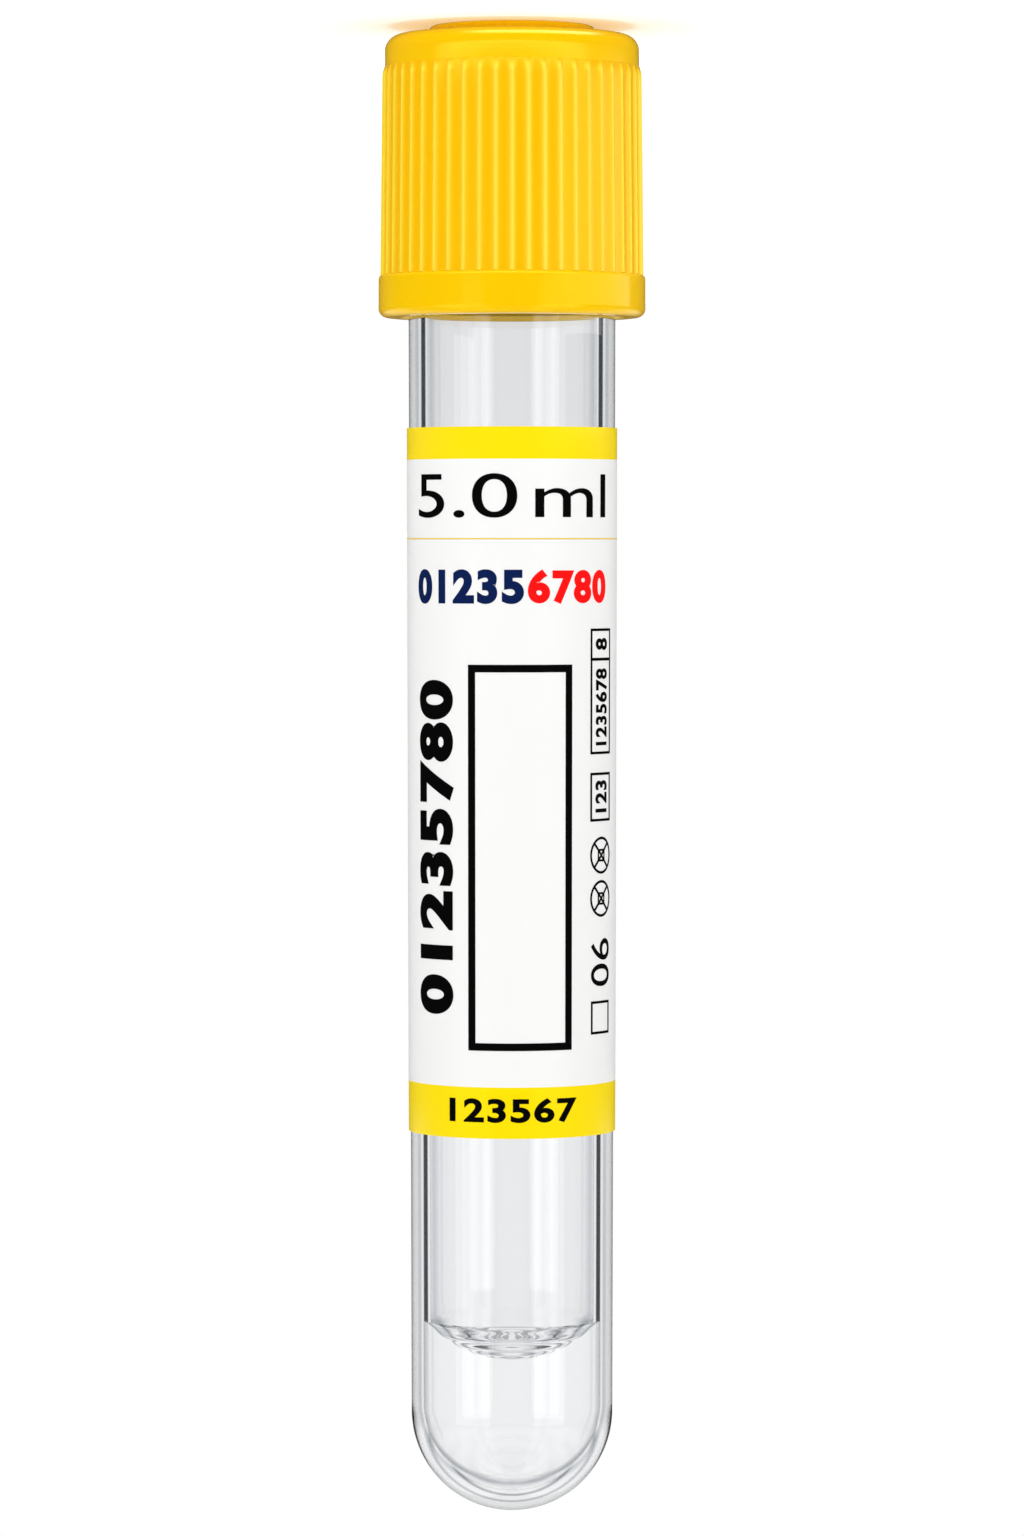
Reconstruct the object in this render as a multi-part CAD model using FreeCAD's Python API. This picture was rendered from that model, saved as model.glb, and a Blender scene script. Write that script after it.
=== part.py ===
"""Blood collection tube: a clear round-bottomed PET tube with a plug of separator gel, a wrapped
paper label, and a closure made of a ribbed cap around a rubber stopper.

Every piece is built on the tube's own axis: local +Z runs from the round tip (z = 0) to the closure,
and the middle of the label faces -Y.  stand_on_cap() then turns the whole object over to its rest
pose in the part's frame.  A round tube rolls when it lies down, so it rests upside down, on the
raised ring on top of its cap, with the round tip up.  The origin is on the floor (z = 0), on the
axis, which is the centre of the underside of its bounding box.  All sizes are millimetres.
"""
import FreeCAD, Part
import math
import os

# ---- driving dimensions -------------------------------------------------------------------------
# Tube body, injection moulded
TUBE_LENGTH = 88.5          # tip to mouth
TUBE_MOUTH_RADIUS = 6.53    # outer, at the mouth
TUBE_WALL = 1.15            # at the mouth
TUBE_BOTTOM = 1.5           # thickness at the tip
TUBE_DRAFT = 0.13           # degrees a side, outside
BORE_DRAFT = 0.16           # degrees a side, inside
MOUTH_ROUND = 0.3           # on both edges of the mouth

# Separator gel, settled in the round end
GEL_MIDDLE = 9.7            # height of the surface above the tip, on the axis
GEL_CREEP = 2.5             # how far the surface climbs from its middle to the wall
GEL_GAP = 0.02              # film between the gel and the bore

# Label, one wrap that stops short of its own edge
LABEL_START = 24.1          # lower edge above the tip
LABEL_LENGTH = 44.25        # along the tube
LABEL_THICKNESS = 0.12
LABEL_WINDOW = 5.0          # width of the bare strip left at the back
LABEL_CORNER = 1.5          # corner radius
LABEL_GAP = 0.02            # film of adhesive

# Cap, moulded round the stopper
CAP_OVERLAP = 13.2          # how far the skirt reaches down past the tube's mouth
CAP_HEIGHT = 18.25          # skirt edge to the top of the raised ring
SKIRT_CLEARANCE = 0.35      # radial, skirt to tube mouth
SKIRT_LEAD = 0.3            # chamfer on the inner edge of the skirt
SKIRT_WALL = 1.1            # at the collar, the smooth band above the ribs
FLANGE_WALL = 1.51          # at the flange
FLANGE_HEIGHT = 2.65
FLANGE_LOWER_ROUND = 0.55
FLANGE_UPPER_ROUND = 0.12
COLLAR_HEIGHT = 2.0         # top of the ribs to the top of the shoulder
SHOULDER_ROUND = 1.0
RING_WALL = 1.2             # raised ring round the needle well
RING_HEIGHT = 0.55
RING_ROUND = 0.28
WEB_THICKNESS = 1.55        # the cap's end wall, under the shoulder
WELL_RADIUS = 4.0
WELL_ROUND = 0.25

# Grip ribs: narrow crests between shallow concave flutes
RIB_COUNT = 50
RIB_CREST = 0.2             # width of a crest
RIB_FIRST = -90             # degrees: one crest faces the front, in line with the label's middle
FLUTE_DEPTH = 0.13
FLUTE_PROUD = 0.02          # floor of a flute over the collar
RIB_DRAFT = 0.6             # degrees a side
RIB_END = 0.7               # length of the rounded upper end of a rib

# Bead inside the cap that holds the stopper up
BEAD_HEIGHT = 0.6
BEAD_CLEARANCE = 0.12       # radial, bead to tube mouth

# Rubber stopper
STOPPER_SEAT_GAP = 0.05     # under its head, over the tube's mouth
PLUG_LENGTH = 9.0           # below the head
PLUG_CLEARANCE = 0.05       # radial, in the bore
PLUG_LEAD = 0.7             # rounded lower edge
DISH_LEDGE = 0.6            # flat rubber between the well's wall and the needle target
DISH_DEPTH = 0.6            # how far the target is sunk
PLUG_WALL = 2.0             # rubber round the hollow in the underside
DIAPHRAGM = 4.2             # rubber left between the target and the hollow

ORIGIN = FreeCAD.Vector(0, 0, 0)
UP = FreeCAD.Vector(0, 0, 1)
ACROSS = FreeCAD.Vector(1, 0, 0)
BACK = FreeCAD.Vector(0, 1, 0)


# ---- profiles -----------------------------------------------------------------------------------
def at(point):
    """A (radius, height) pair as a point of the half-plane that is turned round the axis."""
    return FreeCAD.Vector(point[0], 0, point[1])


def on_circle(centre, radius, degrees):
    angle = math.radians(degrees)
    return (centre[0] + radius * math.cos(angle), centre[1] + radius * math.sin(angle))


def arc(centre, radius, start, end):
    """An arc as the pair (point on the way, end point), for outline()."""
    middle = on_circle(centre, radius, (start + end) / 2)
    return (middle, on_circle(centre, radius, end))


def outline(start, *steps):
    """A face bounded by straight steps, given as points, and by arcs, given as arc() pairs."""
    edges = []
    here = start
    for step in steps + (start,):
        is_arc = isinstance(step[0], tuple)
        end = step[1] if is_arc else step
        if is_arc:
            edges.append(Part.Arc(at(here), at(step[0]), at(end)).toShape())
        else:
            edges.append(Part.LineSegment(at(here), at(end)).toShape())
        here = end
    return Part.Face(Part.Wire(edges))


def turned(face, degrees=360):
    return face.revolve(ORIGIN, UP, degrees)


# ---- places that several pieces share -----------------------------------------------------------
def round_end_radius(mouth_radius, length, draft):
    """Radius of the ball end that a drafted wall runs into smoothly, 'length' from its mouth."""
    slope = math.radians(draft)
    return (mouth_radius * math.cos(slope) - length * math.sin(slope)) / (1 - math.sin(slope))


TIP_RADIUS = round_end_radius(TUBE_MOUTH_RADIUS, TUBE_LENGTH, TUBE_DRAFT)
BORE_MOUTH_RADIUS = TUBE_MOUTH_RADIUS - TUBE_WALL
BORE_TIP_RADIUS = round_end_radius(BORE_MOUTH_RADIUS, TUBE_LENGTH - TUBE_BOTTOM, BORE_DRAFT)


def tube_radius(height):
    """Outer radius of the drafted wall."""
    return TUBE_MOUTH_RADIUS - (TUBE_LENGTH - height) * math.tan(math.radians(TUBE_DRAFT))


def bore_radius(height):
    return BORE_MOUTH_RADIUS - (TUBE_LENGTH - height) * math.tan(math.radians(BORE_DRAFT))


CAP_START = TUBE_LENGTH - CAP_OVERLAP
CAP_TOP = CAP_START + CAP_HEIGHT
SHOULDER_TOP = CAP_TOP - RING_HEIGHT
RIB_START = CAP_START + FLANGE_HEIGHT
RIB_TOP = SHOULDER_TOP - COLLAR_HEIGHT
WEB_UNDERSIDE = SHOULDER_TOP - WEB_THICKNESS
SKIRT_RADIUS = TUBE_MOUTH_RADIUS + SKIRT_CLEARANCE
COLLAR_RADIUS = SKIRT_RADIUS + SKIRT_WALL
FLANGE_RADIUS = SKIRT_RADIUS + FLANGE_WALL
RING_RADIUS = WELL_RADIUS + RING_WALL
HEAD_UNDERSIDE = TUBE_LENGTH + STOPPER_SEAT_GAP


def flute_floor(height):
    return COLLAR_RADIUS + FLUTE_PROUD + (RIB_TOP - height) * math.tan(math.radians(RIB_DRAFT))


# ---- pieces, on the tube's own axis -------------------------------------------------------------
def make_tube_body():
    """One wall with a ball end: a ball and a drafted cone outside, the same inside."""
    bore_end = TUBE_BOTTOM + BORE_TIP_RADIUS
    rim = TUBE_LENGTH - MOUTH_ROUND
    face = outline(
        (0, 0),
        arc((0, TIP_RADIUS), TIP_RADIUS, -90, -TUBE_DRAFT),
        (tube_radius(rim), rim),
        arc((tube_radius(rim) - MOUTH_ROUND, rim), MOUTH_ROUND, 0, 90),
        (bore_radius(rim) + MOUTH_ROUND, TUBE_LENGTH),
        arc((bore_radius(rim) + MOUTH_ROUND, rim), MOUTH_ROUND, 90, 180),
        on_circle((0, bore_end), BORE_TIP_RADIUS, -BORE_DRAFT),
        arc((0, bore_end), BORE_TIP_RADIUS, -BORE_DRAFT, -90),
    )
    return turned(face)


def make_separator_gel():
    """Fills the ball end, and climbs the wall in a spherical dish."""
    end_radius = BORE_TIP_RADIUS - GEL_GAP
    end_height = TUBE_BOTTOM + BORE_TIP_RADIUS
    rim_height = GEL_MIDDLE + GEL_CREEP
    rim_radius = bore_radius(rim_height) - GEL_GAP
    dish_radius = (rim_radius ** 2 + GEL_CREEP ** 2) / (2 * GEL_CREEP)
    dish_centre = (0, GEL_MIDDLE + dish_radius)
    rim_angle = math.degrees(math.asin((rim_height - dish_centre[1]) / dish_radius))
    face = outline(
        (0, end_height - end_radius),
        arc((0, end_height), end_radius, -90, -BORE_DRAFT),
        (rim_radius, rim_height),
        arc(dish_centre, dish_radius, rim_angle, -90),
    )
    return turned(face)


def make_label():
    """A wrap of even thickness that follows the tube's draft, open at the back."""
    inner = LABEL_GAP
    outer = LABEL_GAP + LABEL_THICKNESS
    label_end = LABEL_START + LABEL_LENGTH
    face = outline(
        (tube_radius(LABEL_START) + inner, LABEL_START),
        (tube_radius(LABEL_START) + outer, LABEL_START),
        (tube_radius(label_end) + outer, label_end),
        (tube_radius(label_end) + inner, label_end),
    )
    wrap = turned(face).cut(label_window(LABEL_START, label_end))
    return wrap.Solids[0]


def label_window(lower, upper):
    """The bare strip between the label's edges, flared at both ends by the label's round corners."""
    side = LABEL_WINDOW / 2
    wide = side + LABEL_CORNER
    beyond = LABEL_CORNER
    low_corner = (wide, lower + LABEL_CORNER)
    high_corner = (wide, upper - LABEL_CORNER)
    face = outline(
        (0, lower - beyond),
        (wide, lower - beyond),
        (wide, lower),
        arc(low_corner, LABEL_CORNER, 270, 180),
        (side, upper - LABEL_CORNER),
        arc(high_corner, LABEL_CORNER, 180, 90),
        (wide, upper + beyond),
        (0, upper + beyond),
    )
    half = face.extrude(FreeCAD.Vector(0, 2 * TUBE_MOUTH_RADIUS, 0))
    return half.fuse(half.mirror(ORIGIN, ACROSS)).removeSplitter()


def make_cap():
    """The shell of the cap with the ribbed band fused on."""
    cap = cap_shell().fuse(ribbed_band()).removeSplitter()
    return cap.Solids[0]


def cap_shell():
    """Flange, core behind the ribs, collar, shoulder, raised ring, well, end wall and skirt."""
    core = COLLAR_RADIUS - 2 * FLUTE_DEPTH
    bead_radius = TUBE_MOUTH_RADIUS + BEAD_CLEARANCE
    bead_depth = SKIRT_RADIUS - bead_radius
    bead_top = HEAD_UNDERSIDE
    face = outline(
        (SKIRT_RADIUS + SKIRT_LEAD, CAP_START),
        (FLANGE_RADIUS - FLANGE_LOWER_ROUND, CAP_START),
        arc((FLANGE_RADIUS - FLANGE_LOWER_ROUND, CAP_START + FLANGE_LOWER_ROUND),
            FLANGE_LOWER_ROUND, -90, 0),
        (FLANGE_RADIUS, RIB_START - FLANGE_UPPER_ROUND),
        arc((FLANGE_RADIUS - FLANGE_UPPER_ROUND, RIB_START - FLANGE_UPPER_ROUND),
            FLANGE_UPPER_ROUND, 0, 90),
        (core, RIB_START),
        (core, RIB_TOP),
        (COLLAR_RADIUS, RIB_TOP),
        (COLLAR_RADIUS, SHOULDER_TOP - SHOULDER_ROUND),
        arc((COLLAR_RADIUS - SHOULDER_ROUND, SHOULDER_TOP - SHOULDER_ROUND), SHOULDER_ROUND, 0, 90),
        (RING_RADIUS, SHOULDER_TOP),
        (RING_RADIUS, CAP_TOP - RING_ROUND),
        arc((RING_RADIUS - RING_ROUND, CAP_TOP - RING_ROUND), RING_ROUND, 0, 90),
        (WELL_RADIUS + WELL_ROUND, CAP_TOP),
        arc((WELL_RADIUS + WELL_ROUND, CAP_TOP - WELL_ROUND), WELL_ROUND, 90, 180),
        (WELL_RADIUS, WEB_UNDERSIDE),
        (SKIRT_RADIUS, WEB_UNDERSIDE),
        (SKIRT_RADIUS, bead_top),
        (bead_radius, bead_top - bead_depth),
        (bead_radius, bead_top - BEAD_HEIGHT + bead_depth),
        (SKIRT_RADIUS, bead_top - BEAD_HEIGHT),
        (SKIRT_RADIUS, CAP_START + SKIRT_LEAD),
    )
    return turned(face)


def ribbed_band():
    """A drafted prism of crests and flutes, rounded off at its upper end, hollow inside."""
    prism = Part.makeLoft([rib_section(RIB_START), rib_section(RIB_TOP)], True, True)
    return prism.common(band_envelope())


def rib_section(height):
    """Outline of the ribs at one height: a crest arc, then a concave flute arc, all the way round."""
    floor = flute_floor(height)
    crest = floor + FLUTE_DEPTH
    pitch = 360 / RIB_COUNT
    half_crest = math.degrees(RIB_CREST / 2 / crest)

    def spot(radius, degrees):
        x, y = on_circle((0, 0), radius, degrees)
        return FreeCAD.Vector(x, y, height)

    edges = []
    for rib in range(RIB_COUNT):
        angle = RIB_FIRST + rib * pitch
        start = spot(crest, angle - half_crest)
        end = spot(crest, angle + half_crest)
        following = spot(crest, angle + pitch - half_crest)
        edges.append(Part.Arc(start, spot(crest, angle), end).toShape())
        edges.append(Part.Arc(end, spot(floor, angle + pitch / 2), following).toShape())
    return Part.Wire(edges)


def band_envelope():
    """What the ribbed band is trimmed to: the rib crests' outline with a rounded upper end."""
    crest_end = RIB_TOP - RIB_END
    crest = flute_floor(crest_end) + FLUTE_DEPTH
    rise = crest - COLLAR_RADIUS
    bend = (rise ** 2 + RIB_END ** 2) / (2 * rise)
    sweep = math.degrees(math.asin(RIB_END / bend))
    inner = (SKIRT_RADIUS + COLLAR_RADIUS) / 2
    outer = FLANGE_RADIUS
    face = outline(
        (inner, RIB_START),
        (outer, RIB_START),
        (outer, crest_end - RIB_END),
        (crest, crest_end),
        arc((crest - bend, crest_end), bend, 0, sweep),
        (inner, RIB_TOP),
    )
    return turned(face)


def make_rubber_stopper():
    """A head held inside the cap, over a plug that seals the bore; thin in the middle to pierce."""
    plug_end = HEAD_UNDERSIDE - PLUG_LENGTH
    plug_radius = bore_radius(plug_end) - PLUG_CLEARANCE
    recess_radius = plug_radius - PLUG_WALL
    recess_top = WEB_UNDERSIDE - DISH_DEPTH - DIAPHRAGM
    dish_radius = WELL_RADIUS - DISH_LEDGE
    face = outline(
        (0, recess_top),
        (recess_radius - PLUG_LEAD, recess_top),
        arc((recess_radius - PLUG_LEAD, recess_top - PLUG_LEAD), PLUG_LEAD, 90, 0),
        (recess_radius, plug_end),
        (plug_radius - PLUG_LEAD, plug_end),
        arc((plug_radius - PLUG_LEAD, plug_end + PLUG_LEAD), PLUG_LEAD, -90, 0),
        (plug_radius, HEAD_UNDERSIDE),
        (SKIRT_RADIUS, HEAD_UNDERSIDE),
        (SKIRT_RADIUS, WEB_UNDERSIDE),
        (dish_radius, WEB_UNDERSIDE),
        (dish_radius - DISH_DEPTH, WEB_UNDERSIDE - DISH_DEPTH),
        (0, WEB_UNDERSIDE - DISH_DEPTH),
    )
    return turned(face)


# ---- rest pose ----------------------------------------------------------------------------------
def stand_on_cap(shape):
    """From the tube's own axis to the rest pose in the part's frame: half a turn about Y, which
    keeps the label in front, then up until the raised ring on the cap stands on the floor."""
    shape.rotate(ORIGIN, BACK, 180)
    shape.translate(FreeCAD.Vector(0, 0, CAP_TOP))
    return shape


PIECES = {
    "tube_body": make_tube_body,
    "separator_gel": make_separator_gel,
    "label": make_label,
    "cap": make_cap,
    "rubber_stopper": make_rubber_stopper,
}


def main():
    os.makedirs("parts", exist_ok=True)
    for name, make in PIECES.items():
        shape = stand_on_cap(make())
        shape.exportStep(f"parts/{name}.step")
        print(name, shape.ShapeType, shape.isValid(), round(shape.Volume, 3), len(shape.Faces))


main()
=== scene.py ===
"""Blood collection tube: the visual model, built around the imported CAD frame.

Every piece is modelled on the tube's own axis: local +Z runs from the round tip to the closure, and
the middle of the label faces -Y.  stand_on_cap() then turns it over to the frame's rest pose, in which
the tube stands upside down on its cap.  Sizes are metres; MM turns millimetres into them.
"""
import math

import bpy
from bpy.props import FloatProperty, FloatVectorProperty, IntProperty, PointerProperty, StringProperty
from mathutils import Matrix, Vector


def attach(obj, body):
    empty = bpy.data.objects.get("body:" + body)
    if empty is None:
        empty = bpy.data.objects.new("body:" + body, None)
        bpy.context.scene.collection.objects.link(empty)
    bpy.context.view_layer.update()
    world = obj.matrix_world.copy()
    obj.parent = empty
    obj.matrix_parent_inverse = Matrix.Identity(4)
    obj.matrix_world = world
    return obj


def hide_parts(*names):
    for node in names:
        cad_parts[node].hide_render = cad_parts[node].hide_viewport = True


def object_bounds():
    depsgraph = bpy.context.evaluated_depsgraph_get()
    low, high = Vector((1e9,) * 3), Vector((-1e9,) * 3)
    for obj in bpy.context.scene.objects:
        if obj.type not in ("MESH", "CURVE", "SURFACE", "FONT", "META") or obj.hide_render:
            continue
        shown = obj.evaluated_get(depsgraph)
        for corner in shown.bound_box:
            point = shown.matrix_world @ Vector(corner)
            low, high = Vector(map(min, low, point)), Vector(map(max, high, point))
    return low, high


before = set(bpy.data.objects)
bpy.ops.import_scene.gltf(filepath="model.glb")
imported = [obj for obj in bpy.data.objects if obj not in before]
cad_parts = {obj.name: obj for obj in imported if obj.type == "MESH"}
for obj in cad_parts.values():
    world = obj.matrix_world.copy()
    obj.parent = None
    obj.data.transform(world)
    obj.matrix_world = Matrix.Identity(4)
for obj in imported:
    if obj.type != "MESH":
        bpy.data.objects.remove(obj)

bl_info = {
    "name": "Blood collection tube",
    "version": (1, 0, 0),
    "blender": (4, 5, 0),
    "location": "3D View > Sidebar > Sample tube",
    "description": "Models a clear sample tube with gel, a printed label and a ribbed closure",
    "category": "Object",
}

MM = 0.001
MERGE = 1e-7                    # vertices nearer than this are one
CUT = 1e-9                      # vertices nearer than this to a cutting plane are on it
CAD_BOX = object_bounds()
REST_TOP = CAD_BOX[1].z         # height of the round tip over the floor at rest


# ---- colours ------------------------------------------------------------------------------------
def linear(hex_colour):
    """The linear colour of an sRGB hex value such as '#FFC400'."""
    channels = [int(hex_colour[i:i + 2], 16) / 255 for i in (1, 3, 5)]
    return tuple(c / 12.92 if c <= 0.04045 else ((c + 0.055) / 1.055) ** 2.4 for c in channels)


def rgba(colour):
    return (colour[0], colour[1], colour[2], 1.0)


# ---- sizes and colours that a user would change ---------------------------------------------------
def length(name, default_mm, description):
    return FloatProperty(name=name, description=description, default=default_mm * MM, min=0.0,
                         precision=5, subtype="DISTANCE", unit="LENGTH")


def angle(name, default_degrees, description):
    return FloatProperty(name=name, description=description, default=math.radians(default_degrees),
                         precision=3, subtype="ANGLE", unit="ROTATION")


def colour(name, hex_colour, description):
    return FloatVectorProperty(name=name, description=description, default=linear(hex_colour),
                               size=3, min=0.0, max=1.0, subtype="COLOR")


class TubeSizes(bpy.types.PropertyGroup):
    """The moulded tube and the gel in its round end."""
    length: length("Length", 88.5, "From the round tip to the mouth")
    mouth_radius: length("Mouth radius", 6.53, "Outer radius at the mouth")
    wall: length("Wall", 1.15, "Wall thickness at the mouth")
    bottom: length("Bottom", 1.5, "Thickness at the round tip")
    draft: angle("Outer draft", 0.13, "Taper of the outside, per side")
    bore_draft: angle("Bore draft", 0.16, "Taper of the bore, per side")
    mouth_round: length("Mouth round", 0.3, "Radius of both edges of the mouth")
    gel_middle: length("Gel height", 9.7, "Height of the gel's surface above the tip, on the axis")
    gel_creep: length("Gel creep", 2.5, "How far the gel's surface climbs towards the wall")
    gel_gap: length("Gel film", 0.004, "Gap between the gel and the bore")
    gel_ring_step: length("Gel ring step", 0.95, "Distance between the faint rings in the gel's dish")
    gel_ring_height: length("Gel ring height", 0.07, "Height of the faint rings in the gel's dish")


class LabelSizes(bpy.types.PropertyGroup):
    """The wrapped label and its printed fields."""
    start: length("Lower edge", 24.1, "Height of the lower edge above the tip")
    length: length("Length", 44.25, "Length along the tube")
    thickness: length("Thickness", 0.12, "Thickness of the label")
    gap: length("Adhesive", 0.02, "Film of adhesive under the label")
    window: length("Window", 5.0, "Width of the bare strip left at the back")
    corner: length("Corner radius", 1.5, "Radius of the label's corners")
    upper_band: length("Upper band", 2.0, "Height of the yellow band at the closure's end")
    lower_band: length("Lower band", 3.2, "Height of the yellow band at the round end")
    ink: length("Ink", 0.015, "How far the black and coloured ink stands proud")
    number: StringProperty(name="Number", default="01235780", description="Plain number up the side")
    fill: StringProperty(name="Fill line", default="5.0 ml", description="Fill volume, in thin figures")
    count: StringProperty(name="Band number", default="123567", description="Number on the lower band")


class CapSizes(bpy.types.PropertyGroup):
    """The ribbed cap, moulded round the stopper."""
    overlap: length("Overlap", 13.2, "How far the skirt reaches past the tube's mouth")
    height: length("Height", 18.25, "Skirt edge to the top of the raised ring")
    clearance: length("Skirt clearance", 0.35, "Radial gap between the skirt and the tube's mouth")
    lead: length("Skirt lead", 0.3, "Chamfer on the inner edge of the skirt")
    collar_wall: length("Collar wall", 1.1, "Wall at the smooth band above the ribs")
    flange_wall: length("Flange wall", 1.51, "Wall at the flange")
    flange_height: length("Flange height", 2.65, "Height of the flange")
    flange_lower_round: length("Flange lower round", 0.55, "Radius of the flange's lower edge")
    flange_upper_round: length("Flange upper round", 0.24, "Radius of the flange's upper edge")
    collar_height: length("Collar height", 2.0, "Top of the ribs to the top of the shoulder")
    shoulder_round: length("Shoulder round", 1.0, "Radius of the shoulder")
    ring_wall: length("Ring wall", 1.2, "Width of the raised ring")
    ring_height: length("Ring height", 0.55, "How far the ring stands above the shoulder")
    ring_round: length("Ring round", 0.28, "Radius of the ring's outer edge")
    web: length("End wall", 1.55, "Thickness of the end wall under the shoulder")
    well_radius: length("Well radius", 4.0, "Radius of the needle well")
    well_round: length("Well round", 0.25, "Radius of the well's edge")
    rib_count: IntProperty(name="Ribs", default=50, min=8, description="Number of grip ribs")
    rib_height: length("Rib height", 0.15, "How far a rib stands above the floor of a flute")
    rib_proud: length("Flute floor", 0.02, "How far a flute's floor stands above the collar")
    rib_draft: angle("Rib draft", 0.6, "Taper of the ribbed band, per side")
    rib_end: length("Rib end", 0.7, "Length of a rib's rounded upper end")
    bead_height: length("Bead height", 0.6, "Height of the bead that holds the stopper up")
    bead_clearance: length("Bead clearance", 0.12, "Radial gap between the bead and the tube's mouth")


class StopperSizes(bpy.types.PropertyGroup):
    """The rubber stopper inside the cap."""
    seat_gap: length("Seat gap", 0.05, "Gap under the head, over the tube's mouth")
    plug_length: length("Plug length", 9.0, "Length below the head")
    plug_clearance: length("Plug clearance", 0.05, "Radial gap in the bore")
    plug_lead: length("Plug lead", 0.7, "Radius of the plug's lower edge")
    dish_ledge: length("Dish ledge", 0.6, "Flat rubber around the needle target")
    dish_depth: length("Dish depth", 0.6, "How far the target is sunk")
    plug_wall: length("Plug wall", 2.0, "Rubber round the hollow in the underside")
    diaphragm: length("Diaphragm", 4.2, "Rubber between the target and the hollow")


class FinishColours(bpy.types.PropertyGroup):
    """Colours of the finishes."""
    cap: colour("Cap", "#FFCE00", "Yellow polyethylene")
    # The next two colours are painted light: shade painted deeper into the flutes and a highlight painted
    # paler on the rib crests.
    cap_flute_shade: colour("Cap flutes", "#FFC200", "Painted shade: deeper yellow in the hollow of a flute")
    cap_crest_highlight: colour("Cap crests", "#FFE44A", "Painted highlight: paler yellow on a rib's crest")
    cap_shine: colour("Cap shine", "#FFE15A", "Tint of the cap's gloss")
    plastic: colour("Clear plastic", "#F9F9FA", "Tint of the clear tube")
    gel: colour("Gel", "#FAFAFA", "Tint of the separator gel")
    film: colour("Label", "#F3F3F2", "White coated label paper")
    yellow: colour("Yellow ink", "#FFE203", "Yellow label ink")
    rule: colour("Rule ink", "#EBCB4B", "Ochre hairline")
    black: colour("Black ink", "#060606", "Black label ink")
    navy: colour("Navy ink", "#0B1F4F", "Navy label ink")
    red: colour("Red ink", "#FF1414", "Red label ink")
    rubber: colour("Rubber", "#8B8D92", "Grey butyl rubber")
    floor: colour("Floor", "#F4F4F4", "Plain pale floor")


class StageSettings(bpy.types.PropertyGroup):
    """Camera, lamps and floor."""
    eye_height: length("Eye height", 32.6, "Height of the camera over the floor")
    aim_height: length("Aim height", 46.6, "Height on the tube's axis at the middle of the view")
    distance: length("Distance", 394.0, "Camera to the tube's axis")
    lens: FloatProperty(name="Lens", default=146.5, min=10.0, subtype="DISTANCE_CAMERA",
                        description="Focal length, in millimetres")
    lamp_distance: length("Softbox distance", 300.0, "Softboxes to the tube's axis")
    lamp_height: length("Softbox height", 77.0, "Height of the middle of the softboxes")
    card_distance: length("Card distance", 33.0, "Cards beside the cap to the tube's axis")
    floor_radius: length("Floor", 450.0, "Radius of the floor")
    floor_glow: FloatProperty(name="Floor glow", default=0.46, min=0.0,
                              description="Light that the floor gives the object's underside")
    floor_in_gloss: FloatProperty(name="Floor in gloss", default=3.2, min=0.0,
                                  description="Brightness of a strip of floor ahead in reflections")
    shoulder_in_gloss: FloatProperty(name="Shoulder in gloss", default=7.0, min=0.0,
                                     description="Brightness of the streak on the cap's shoulder")
    floor_seen: FloatProperty(name="Floor seen", default=0.26, min=0.0,
                              description="Brightness added to the floor near the object for the eye")
    floor_seen_far: FloatProperty(name="Floor seen far off", default=0.5, min=0.0,
                                  description="The same far out, where less lamplight reaches it")
    fill: FloatProperty(name="Fill", default=0.58, min=0.0, description="Dim light from all round")
    in_gloss: FloatProperty(name="In gloss", default=0.06, min=0.0,
                            description="Brightness of the surroundings in reflections")
    overhead: FloatProperty(name="Overhead", default=3.0, min=0.0,
                            description="Brightness of the softbox overhead")


# ---- working on meshes by operator --------------------------------------------------------------
def deselect_all():
    if bpy.context.object and bpy.context.object.mode != "OBJECT":
        bpy.ops.object.mode_set(mode="OBJECT")
    bpy.ops.object.select_all(action="DESELECT")


def activate(*objects):
    deselect_all()
    for one in objects:
        one.select_set(True)
    bpy.context.view_layer.objects.active = objects[0]


def edit_all(piece):
    """Edit mode with the whole piece selected."""
    activate(piece)
    bpy.ops.object.mode_set(mode="EDIT")
    bpy.ops.mesh.select_mode(type="VERT")
    bpy.ops.mesh.select_all(action="SELECT")


def select_vertices(piece, wanted):
    """Edit mode with those vertices selected that 'wanted' says yes to."""
    bpy.ops.object.mode_set(mode="OBJECT")
    for edge in piece.data.edges:
        edge.select = False
    for face in piece.data.polygons:
        face.select = False
    for vertex in piece.data.vertices:
        vertex.select = wanted(vertex.co)
    bpy.ops.object.mode_set(mode="EDIT")


def object_mode():
    bpy.ops.object.mode_set(mode="OBJECT")


def apply_modifier(piece, kind, **settings):
    activate(piece)
    modifier = piece.modifiers.new(kind.title(), kind)
    for name, value in settings.items():
        setattr(modifier, name, value)
    bpy.ops.object.modifier_apply(modifier=modifier.name)


def apply_place(piece):
    activate(piece)
    bpy.ops.object.transform_apply(location=True, rotation=True, scale=True)


def draw_profile(name, points):
    """A chain of vertices in the plane y = 0, drawn by extruding one vertex from point to point."""
    deselect_all()
    bpy.ops.mesh.primitive_plane_add(size=MM)
    piece = bpy.context.object
    piece.name = name
    piece.data.name = name
    bpy.ops.object.mode_set(mode="EDIT")
    bpy.ops.mesh.select_mode(type="VERT")
    bpy.ops.mesh.merge(type="CENTER")
    here = (0.0, 0.0)
    for number, point in enumerate(points):
        step = (point[0] - here[0], 0.0, point[1] - here[1])
        if number:
            bpy.ops.mesh.extrude_vertices_move(TRANSFORM_OT_translate={"value": step})
        else:
            bpy.ops.transform.translate(value=step)
        here = point
    return piece


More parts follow.
